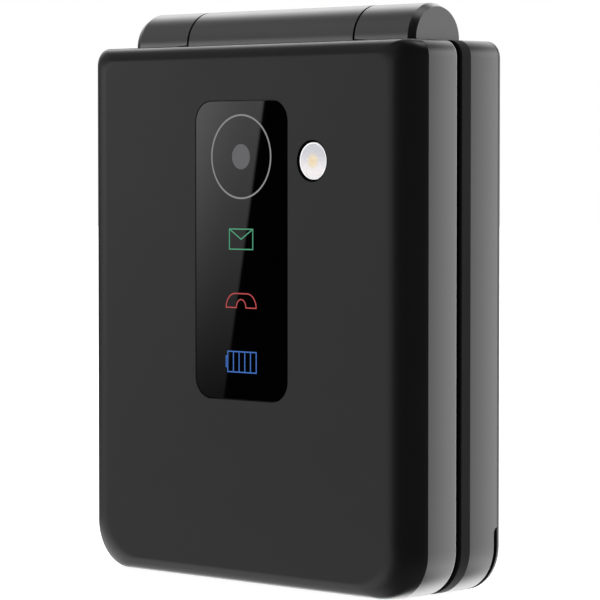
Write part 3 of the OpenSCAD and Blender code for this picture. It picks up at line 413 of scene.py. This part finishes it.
def milky_lens(name):
    """A cloudy white lens with a painted glow, greyer and cooler above as painted shade, warm
    yellow in its middle.
    """
    white, painted_shade_grey, warm = (0.86, 0.81, 0.82, 1), (0.6, 0.6, 0.64, 1), (0.82, 0.68, 0.45, 1)
    speckle_size, speckle_share, painted_glow_strength = 0.3 * MM, 0.3, 0.45
    material = plain(name, (0.8, 0.8, 0.8), 0.25)
    tree = material.node_tree
    shader = tree.nodes["Principled BSDF"]
    place = add(tree, "ShaderNodeTexCoord").outputs["Object"]
    axes = add(tree, "ShaderNodeSeparateXYZ")
    tree.links.new(place, axes.inputs[0])
    x = maths(tree, "SUBTRACT", axes.outputs["X"], TORCH_X)
    z = maths(tree, "SUBTRACT", axes.outputs["Z"], TORCH_Z)
    squares = [maths(tree, "MULTIPLY", value, value) for value in (x, z)]
    off = maths(tree, "SQRT", maths(tree, "ADD", *squares))
    # Painted shade: the lens turns from white to a cool grey towards its top
    painted_shade_above = blend(tree, smooth(tree, z, -2 * MM, 1.6 * MM), white, painted_shade_grey)
    middle = blend(tree, smooth(tree, off, 0.4 * MM, 1.6 * MM), warm, painted_shade_above)
    speckle = add(tree, "ShaderNodeTexNoise", Scale=1 / speckle_size, Detail=3.0)
    tree.links.new(place, speckle.inputs["Vector"])
    milk = blend(tree, speckle_share, middle, speckle.outputs["Fac"], blend_type="MULTIPLY")
    # The lens's glow is painted light, in the lens's own colours
    for socket in ("Base Color", "Emission Color"):
        tree.links.new(milk, shader.inputs[socket])
    shader.inputs["Emission Strength"].default_value = painted_glow_strength
    return material


def lit_ink(name, colour, strength):
    """Ink that glows, a little uneven: lit from behind on the indicators, a painted glow on the
    camera's ring and dot.
    """
    unlit = [c * 0.3 for c in colour]
    return grained(name, unlit, 0.4, depth=0, glow=(colour, strength))


def make_materials():
    """Every finish, under the name of the record's slot or of its use."""
    return {
        "shell": grained("satin_black_plastic", SATIN_BLACK, 0.34),
        "lid_band": grained("satin_black_lid_band", SATIN_BLACK, 0.34, band=(Y_PART, Y_LID)),
        "base_band": grained("satin_black_base_band", SATIN_BLACK, 0.34, band=(Y_BAND, Y_REAR)),
        "back": grained("satin_black_back", SATIN_BLACK, 0.38, ior=1.42),
        "face": grained("matt_black_plastic", (0.004, 0.004, 0.0045), 0.6, ior=1.15),
        "barrel": grained("hinge_paint", (0.008, 0.008, 0.0085), 0.3, ior=2.6),
        "window": grained("window_glass", (0.0002, 0.0002, 0.0003), 0.008, depth=0, spread=0),
        "screen_glass": grained(
            "screen_glass", (0.0015, 0.0015, 0.002), 0.05, depth=0, spread=0.01),
        "display": grained("display_panel", (0.004, 0.004, 0.006), 0.12, depth=0),
        "keys": grained("key_plastic", (0.009, 0.009, 0.01), 0.24),
        "rubber": grained("rubber", (0.03, 0.03, 0.032), 0.75, grain=0.3 * MM),
        "dark_plastic": grained("dark_plastic", (0.02, 0.02, 0.022), 0.5),
        "clear_plastic": grained("milky_plastic", (0.85, 0.85, 0.8), 0.35),
        "lens": milky_lens("torch_lens"),
        # Painted shade: near black, for the cover's top edge under the barrel and for the torch's
        # well
        "shade": grained("shaded_black", (0.0015, 0.0015, 0.0015), 0.8, ior=1.05),
        # The torch rim glows as a painted highlight
        "rim": grained("torch_rim", (0.9, 0.9, 0.92), 0.12, depth=0, glow=((1, 1, 1), 0.45)),
        "steel": brushed("steel", (0.62, 0.63, 0.64), 0.3),
        "chrome": brushed("reflector", (0.92, 0.92, 0.9), 0.16),
        "gold": brushed("gold_contacts", (0.9, 0.66, 0.28), 0.25),
        "circuit_board": circuit("circuit_board"),
        "battery_wrap": grained("battery_wrap", (0.05, 0.05, 0.055), 0.42, grain=0.5 * MM),
        "film": grained("copper_film", (0.45, 0.2, 0.06), 0.35),
        # The emitter's glow is painted light
        "emitter": grained("torch_emitter_painted_glow", (0.95, 0.62, 0.16), 0.5, glow=((1, 0.7, 0.3), 0.5)),
        # The camera's ring and dot glow as painted light
        "ring": lit_ink("camera_ring_painted_glow", (0.25, 0.25, 0.255), 0.7),
        "dot": lit_ink("camera_dot_painted_glow", (0.2, 0.2, 0.21), 0.3),
        "legend": grained("key_print", (0.72, 0.73, 0.74), 0.4, grain=0.2 * MM),
        "call": grained("green_print", (0.03, 0.5, 0.1), 0.4, grain=0.2 * MM),
        "end": grained("red_print", (0.6, 0.03, 0.03), 0.4, grain=0.2 * MM),
    }


# ---- Dressing the CAD nodes ----

def shade_smooth(mesh):
    """Smooth shading, except across edges sharper than SHARP_ANGLE."""
    mesh.polygons.foreach_set("use_smooth", [True] * len(mesh.polygons))
    mesh.set_sharp_from_angle(angle=SHARP_ANGLE)


def set_finish(name, *finishes):
    """Gives a CAD node one finish, or three: its own, its barrel's, and its barrel's flat ends'."""
    mesh = nodes[name].data
    mesh.materials.clear()
    for finish in finishes:
        mesh.materials.append(finish)
    if len(finishes) == 1:
        return
    slack = 0.05 * MM
    for face in mesh.polygons:
        off = math.hypot(face.center.y - HINGE_Y, face.center.z - HINGE_Z)
        if off < BARREL_R + slack and face.center.z > BODY_H - slack:
            flat_end = abs(face.normal.x) > 0.9
            face.material_index = 2 if flat_end else 1
        else:
            face.material_index = 0


def dress_nodes(finishes):
    """Gives each CAD node its slot's finish, and the bands, the barrel and the back their own."""
    for part in frame["record"]["subparts"]:
        set_finish(part["node"], finishes[part["material_slot"]])
        shade_smooth(nodes[part["node"]].data)
    set_finish("lid_inner_cover", finishes["lid_band"], finishes["barrel"], finishes["shell"])
    set_finish("base_front_cover", finishes["face"], finishes["barrel"], finishes["shell"])
    set_finish("base_rear_case", finishes["base_band"])
    set_finish("battery_cover", finishes["back"])


# ---- Outlines and meshes for the new pieces ----

def arc(x, z, rx, rz, start, end, steps):
    """Points on an arc about (x, z), with half-axes rx and rz, from start to end in degrees."""
    points = []
    for i in range(steps + 1):
        a = math.radians(start + (end - start) * i / steps)
        points.append((x + rx * math.cos(a), z + rz * math.sin(a)))
    return points


def circle_points(x, z, r):
    """Points (x, z) round a circle."""
    turns = [2 * math.pi * i / CIRCLE_COUNT for i in range(CIRCLE_COUNT)]
    return [(x + r * math.cos(a), z + r * math.sin(a)) for a in turns]


def rounded_outline(width, low, high, low_r, high_r):
    """Points (x, z) round a rectangle with rounded corners, from its lower right corner on."""
    steps = 20
    corners = [
        (width / 2 - low_r, low + low_r, low_r),
        (width / 2 - high_r, high - high_r, high_r),
        (-width / 2 + high_r, high - high_r, high_r),
        (-width / 2 + low_r, low + low_r, low_r),
    ]
    points = []
    for i, (x, z, r) in enumerate(corners):
        start = 90 * (i - 1)
        points += arc(x, z, r, r, start, start + 90, steps)
    return points


def ring_of(bm, points, y):
    """New vertices at points (x, z), all at level y."""
    return [bm.verts.new((x, y, z)) for x, z in points]


def bridge(bm, first, second):
    """Faces between two closed rings with the same number of points."""
    count = len(first)
    for i in range(count):
        j = (i + 1) % count
        bm.faces.new((first[i], first[j], second[j], second[i]))


def prism(points, y0, y1):
    """A closed mesh from an outline in x and z, from y0 to y1."""
    bm = bmesh.new()
    first, second = ring_of(bm, points, y0), ring_of(bm, points, y1)
    bridge(bm, first, second)
    bm.faces.new(first)
    bm.faces.new(reversed(second))
    bmesh.ops.recalc_face_normals(bm, faces=bm.faces)
    return bm


def lathe(profile, x, z, closed=False):
    """A round form about an axis along y at x and z, from its profile's points (radius, y)."""
    bm = bmesh.new()
    rings = []
    for r, y in profile:
        if r:
            rings.append(ring_of(bm, circle_points(x, z, r), y))
        else:
            rings.append([bm.verts.new((x, y, z))] * CIRCLE_COUNT)
    pairs = list(zip(rings, rings[1:]))
    if closed:
        pairs.append((rings[-1], rings[0]))
    for first, second in pairs:
        for i in range(CIRCLE_COUNT):
            j = (i + 1) % CIRCLE_COUNT
            corners = [first[i], first[j], second[j], second[i]]
            bm.faces.new(list(dict.fromkeys(corners)))
    return bm


def stroke(bm, points, width, y0, y1, closed):
    """A line of constant width along points (x, z), standing from y0 to y1."""
    count = len(points)
    mitre_limit = 0.5
    sides = []
    for i, (x, z) in enumerate(points):
        before = points[i - 1] if closed or i else points[i]
        after = points[(i + 1) % count] if closed or i < count - 1 else points[i]
        into = Vector((x - before[0], z - before[1]))
        away = Vector((after[0] - x, after[1] - z))
        into = into.normalized() if into.length else away.normalized()
        away = away.normalized() if away.length else into
        across = Vector((-(into + away).y, (into + away).x)).normalized()
        half = width / 2 / max(across.dot(Vector((-into.y, into.x))), mitre_limit)
        sides.append([(x + across.x * reach, z + across.y * reach) for reach in (half, -half)])
    loops = [[bm.verts.new((p[side][0], y, p[side][1])) for p in sides]
             for side, y in ((0, y0), (1, y0), (1, y1), (0, y1))]
    last = count if closed else count - 1
    for first, second in zip(loops, loops[1:] + loops[:1]):
        for i in range(last):
            j = (i + 1) % count
            bm.faces.new((first[i], first[j], second[j], second[i]))
    if not closed:
        for i in (0, -1):
            bm.faces.new([loop[i] for loop in loops])


def mesh_object(name, bm, material, body):
    """A finished mesh as a piece that rides on a body."""
    mesh = bpy.data.meshes.new(name)
    bmesh.ops.recalc_face_normals(bm, faces=bm.faces)
    bm.to_mesh(mesh)
    bm.free()
    mesh.materials.append(material)
    shade_smooth(mesh)
    obj = bpy.data.objects.new(name, mesh)
    bpy.context.scene.collection.objects.link(obj)
    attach(obj, body)
    return obj


def cut(obj, cutter_bm):
    """Takes a closed mesh out of an object for good."""
    mesh = bpy.data.meshes.new("cutter")
    cutter_bm.to_mesh(mesh)
    cutter_bm.free()
    cutter = bpy.data.objects.new("cutter", mesh)
    bpy.context.scene.collection.objects.link(cutter)
    boolean = obj.modifiers.new("cut", "BOOLEAN")
    boolean.object = cutter
    boolean.solver = "EXACT"
    bpy.context.view_layer.update()
    evaluated = obj.evaluated_get(bpy.context.evaluated_depsgraph_get())
    made = bpy.data.meshes.new_from_object(evaluated)
    obj.modifiers.clear()
    obj.data = made
    bpy.data.objects.remove(cutter)


# ---- The lid's front cover ----

def arc_inset(radius, depth):
    """How far a round edge of that radius lies in, at a depth behind the front face."""
    return radius - math.sqrt(radius ** 2 - max(radius - depth, 0) ** 2)


def cover_ring(turn, inset, shift):
    """The cover's outline and its level where the edge has turned by a share of its angle.

    inset moves the outline inwards and shift moves the level to the rear.
    """
    angle = turn * ROUND_ANGLE
    reach = 1 - math.sin(angle) / math.sin(ROUND_ANGLE)
    depth = (Y_PART - Y_FRONT) * (1 - math.cos(angle)) / (1 - math.cos(ROUND_ANGLE))
    width = BODY_W - 2 * (ROUND_SIDE * reach + inset)
    low = arc_inset(ROUND_BOTTOM, depth) + inset
    high = BODY_H - arc_inset(ROUND_TOP, depth) - inset
    points = rounded_outline(width, low, high, CORNER_LOW_R - inset, CORNER_HIGH_R - inset)
    return points, Y_FRONT + depth + shift


def cover_mesh():
    """The cover as one closed shell: outside, rear edge and inside."""
    slices = 24
    clear = 0.1 * MM
    shares = [i / slices for i in range(slices + 1)]
    outlines = [cover_ring(share, 0, 0) for share in shares]
    wall, _ = cover_ring(1, SIDE_WALL, 0)
    outlines.append((wall, Y_PART))
    for share in reversed(shares):
        points, y = cover_ring(share, SIDE_WALL, COVER_WALL)
        if y < Y_PART - clear:
            outlines.append((points, y))
    bm = bmesh.new()
    rings = [ring_of(bm, points, y) for points, y in outlines]
    for first, second in zip(rings, rings[1:]):
        bridge(bm, first, second)
    bm.faces.new(rings[0])
    bm.faces.new(rings[-1])
    return bm


def window_outline(grow):
    """The window's outline, moved outwards by grow."""
    r = WINDOW_R + grow
    return rounded_outline(WINDOW_W + 2 * grow, WINDOW_LOW - grow, WINDOW_HIGH + grow, r, r)


def open_cover(obj):
    """Cuts the window's pocket and the opening behind it, and the torch's hole."""
    margin = 1 * MM
    before = Y_FRONT - margin
    behind = Y_FRONT + COVER_WALL + margin
    cut(obj, prism(window_outline(WINDOW_GAP), before, Y_FRONT + WINDOW_DEPTH))
    cut(obj, prism(window_outline(-WINDOW_LEDGE), Y_FRONT, behind))
    cut(obj, prism(circle_points(TORCH_X, TORCH_Z, TORCH_HOLE_R), before, behind))


def make_cover(finishes):
    """The lid's front cover as one smooth shell, with painted shade along its top edge under the
    barrel.
    """
    obj = mesh_object("lid_cover_shell", cover_mesh(), finishes["shell"], "lid")
    open_cover(obj)
    shade_smooth(obj.data)
    # The faces along the top edge take the near-black finish as painted shade under the barrel
    obj.data.materials.append(finishes["shade"])
    for face in obj.data.polygons:
        face.material_index = int(face.normal.z > SHADE_FROM)
    bevel = obj.modifiers.new("bevel", "BEVEL")
    bevel.width = 0.1 * MM
    bevel.segments = 2
    bevel.limit_method = "ANGLE"
    bevel.angle_limit = math.radians(50)
    weighted = obj.modifiers.new("weighted", "WEIGHTED_NORMAL")
    weighted.keep_sharp = True
    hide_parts("lid_front_cover")


# ---- The torch ----

def make_torch(finishes):
    """The torch's milky domed lens in a rounded rim with a painted highlight, deep in a well
    painted black as shade.
    """
    steps = 8
    shares = [i / steps for i in range(steps + 1)]
    lens_r = TORCH_R - TORCH_RIM_W
    y_edge = Y_FRONT + TORCH_DEPTH
    y_back = Y_FRONT + COVER_WALL
    dome = [(lens_r * share, y_edge - TORCH_DOME * (1 - share ** 2)) for share in shares]
    lens = lathe(dome + [(lens_r, y_back), (0, y_back)], TORCH_X, TORCH_Z)
    obj = mesh_object("torch_face", lens, finishes["lens"], "lid")
    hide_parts("torch_lens")

    half = TORCH_RIM_W / 2
    middle = TORCH_R - half
    bulge = half * 0.6
    bead = [(middle + half * math.cos(math.pi * share), y_edge - bulge * math.sin(math.pi * share))
            for share in shares]
    sides = [(middle - half, y_back), (middle + half, y_back)]
    rim = lathe(bead + sides, TORCH_X, TORCH_Z, closed=True)
    # Its glowing finish is a painted highlight
    mesh_object("torch_rim", rim, finishes["rim"], "lid")

    # The well's wall takes the near-black finish as painted shade in the hole
    tube = [
        (TORCH_HOLE_R, Y_FRONT + 0.03 * MM),
        (TORCH_HOLE_R, y_back),
        (TORCH_WELL_R, y_back),
        (TORCH_WELL_R, Y_FRONT + 0.05 * MM),
    ]
    well = lathe(tube, TORCH_X, TORCH_Z, closed=True)
    mesh_object("torch_well", well, finishes["shade"], "lid")


# ---- Print on the window ----

def printed(name, lines, width, material):
    """Thin raised print on the window from (points, closed) lines."""
    bm = bmesh.new()
    for points, closed in lines:
        stroke(bm, points, width, *PRINT_Y, closed)
    return mesh_object(name, bm, material, "lid")


def envelope_lines(z):
    """A closed envelope with its flap, as (points, closed) lines."""
    w, h = 2.68 * MM, 1.64 * MM
    return [
        ([(-w, z - h), (w, z - h), (w, z + h), (-w, z + h)], True),
        ([(-w, z + h), (0, z), (w, z + h)], False),
    ]


def battery_lines(z):
    """A lying battery with five cells and its nub on the left, as (points, closed) lines."""
    w, h = 3.45 * MM, 1.67 * MM
    nub_w, nub_h = 0.36 * MM, 0.85 * MM
    cells = 5
    x0 = -w + nub_w
    pitch = (w - x0) / cells
    lines = [([(x0, z - h), (w, z - h), (w, z + h), (x0, z + h)], True)]
    for i in range(1, cells):
        x = x0 + i * pitch
        lines.append(([(x, z - h), (x, z + h)], False))
    nub = [(x0, z + nub_h), (-w, z + nub_h), (-w, z - nub_h), (x0, z - nub_h)]
    lines.append((nub, False))
    return lines


def handset_points(z):
    """The outline of a receiver that lies face down: round shoulders and an arch below."""
    foot = z - 1.15 * MM
    shoulder = arc(1.35 * MM, foot, 2.1 * MM, 2.3 * MM, 90, 0, 9)
    arch = arc(0, foot, 1.1 * MM, 1.35 * MM, 0, 180, 12)
    return [(-x, up) for x, up in reversed(shoulder)] + shoulder + arch


def make_window_print(finishes):
    """The camera's ring and dot, and the three indicators: message, call and battery."""
    # The ring and the dot take inks with a painted glow
    ring = circle_points(0, CAMERA_Z, CAMERA_RING_R)
    printed("camera_ring", [(ring, True)], CAMERA_RING_LINE, finishes["ring"])
    dot = prism(circle_points(0, CAMERA_Z, CAMERA_DOT_R), *PRINT_Y)
    mesh_object("camera_dot", dot, finishes["dot"], "lid")

    top, middle, low = ICON_ZS
    green = lit_ink("green_ink", (0.06, 0.34, 0.18), 0.7)
    printed("message_icon", envelope_lines(top), ICON_LINE, green)
    red = lit_ink("red_ink", (0.48, 0.05, 0.055), 0.75)
    printed("call_icon", [(handset_points(middle), True)], ICON_LINE, red)
    blue = lit_ink("blue_ink", (0.03, 0.14, 0.5), 0.75)
    printed("battery_icon", battery_lines(low), ICON_LINE, blue)


# ---- Print on the keys ----

def middle_of(node):
    """The middle of a CAD node, in x and z."""
    low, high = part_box(node)
    return (low[0] + high[0]) / 2, (low[2] + high[2]) / 2


def lay_on_key(bm, key):
    """Moves a flat print, drawn round the origin in x and z, onto a key's crowned face.

    Level cuts through the print let it follow the crown.
    """
    cuts, pitch = 6, 0.37 * MM
    for i in range(-cuts, cuts + 1):
        parts = list(bm.verts) + list(bm.edges) + list(bm.faces)
        bmesh.ops.bisect_plane(bm, geom=parts, plane_co=(0, 0, pitch * i), plane_no=(0, 0, 1))
    x0, z0 = middle_of(key)
    for vert in bm.verts:
        x, rise, z = vert.co
        drop = KEY_CROWN_R - math.sqrt(KEY_CROWN_R ** 2 - z ** 2)
        vert.co = (x0 + x, KEY_FACE_Y + drop + rise, z0 + z)


def glyph(text, size):
    """A character in Blender's own plain typeface as a thin mesh, upright in x and z."""
    curve = bpy.data.curves.new("glyph", "FONT")
    curve.body = text
    curve.size = size
    curve.align_x = "CENTER"
    curve.align_y = "CENTER"
    curve.extrude = KEY_PRINT_T / 2
    drawing = bpy.data.objects.new("glyph", curve)
    bpy.context.scene.collection.objects.link(drawing)
    bpy.context.view_layer.update()
    mesh = bpy.data.meshes.new_from_object(drawing)
    bpy.data.objects.remove(drawing)
    bm = bmesh.new()
    bm.from_mesh(mesh)
    bpy.data.meshes.remove(mesh)
    for vert in bm.verts:
        x, up, rise = vert.co
        vert.co = (x, -rise, up)
    return bm


def print_on(key, bm, finish):
    """Lays a print on a key's face and lets it ride on that key."""
    lay_on_key(bm, key)
    mesh_object(key + "_print", bm, finish, key)


def arrow(turn, levels):
    """A small triangle near the ring's rim, pointing outwards."""
    base, tip, half = 9.0 * MM, 9.8 * MM, 0.65 * MM
    points = [(base, -half), (tip, 0), (base, half)]
    c, s = math.cos(turn), math.sin(turn)
    return prism([(x * c - z * s, x * s + z * c) for x, z in points], *levels)


def make_legends(finishes):
    """Digits, star and hash, the two call symbols, the soft keys' dashes and the ring's arrows."""
    marks = {"key_%d" % i: str(i) for i in range(10)}
    marks.update(key_star="*", key_hash="#")
    for key, mark in marks.items():
        print_on(key, glyph(mark, KEY_TEXT), finishes["legend"])

    levels = (-KEY_PRINT_T / 2, KEY_PRINT_T / 2)
    shrink, symbol_line = 0.8, 0.3 * MM
    for key, finish in (("call_key", "call"), ("end_key", "end")):
        bm = bmesh.new()
        symbol = [(shrink * x, shrink * z) for x, z in handset_points(0)]
        stroke(bm, symbol, symbol_line, *levels, True)
        print_on(key, bm, finishes[finish])

    dash_half, dash_line = 1.5 * MM, 0.45 * MM
    for key in ("soft_key_left", "soft_key_right"):
        bm = bmesh.new()
        stroke(bm, [(-dash_half, 0), (dash_half, 0)], dash_line, *levels, False)
        print_on(key, bm, finishes["legend"])

    x0, z0 = middle_of("nav_ring")
    for turn in range(4):
        bm = arrow(math.radians(90 * turn), levels)
        bmesh.ops.translate(bm, vec=(x0, KEY_FACE_Y, z0), verts=bm.verts)
        mesh_object("nav_arrow_%d" % turn, bm, finishes["legend"], "nav_ring")


def build():
    """Sets up the studio, dresses the CAD nodes and adds the new pieces."""
    bpy.context.scene.view_settings.view_transform = "Standard"
    make_camera()
    make_studio()
    make_floor()
    finishes = make_materials()
    dress_nodes(finishes)
    make_cover(finishes)
    make_torch(finishes)
    make_window_print(finishes)
    make_legends(finishes)


build()
